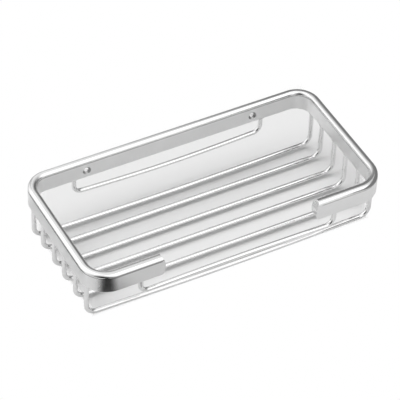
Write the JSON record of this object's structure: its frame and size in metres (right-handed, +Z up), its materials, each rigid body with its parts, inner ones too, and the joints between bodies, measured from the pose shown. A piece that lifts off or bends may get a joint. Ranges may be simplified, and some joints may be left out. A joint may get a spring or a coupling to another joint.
{
  "type": "soap holder",
  "caption": "Wall-hung wire soap basket: parallel floor wires and two retaining loops below a flat bar rail bent to a rounded rectangle, open at the front, with countersunk holes at the back.",
  "frame": {"origin": "middle of the bounding box's underside, on the surface that the floor wires rest on", "axes": "+X along the width, to the right as seen from the front; +Y towards the wall behind the rail; +Z up"},
  "size_m": [0.24, 0.12, 0.049],
  "materials": {
    "rail": "polished",
    "wire": "polished"
  },
  "bodies": {
    "root": {"rail": "rail", "floor_wire_1": "wire", "floor_wire_2": "wire", "floor_wire_3": "wire", "floor_wire_4": "wire", "floor_wire_5": "wire", "floor_wire_6": "wire", "back_loop": "wire", "front_loop": "wire"}
  },
  "joints": []
}
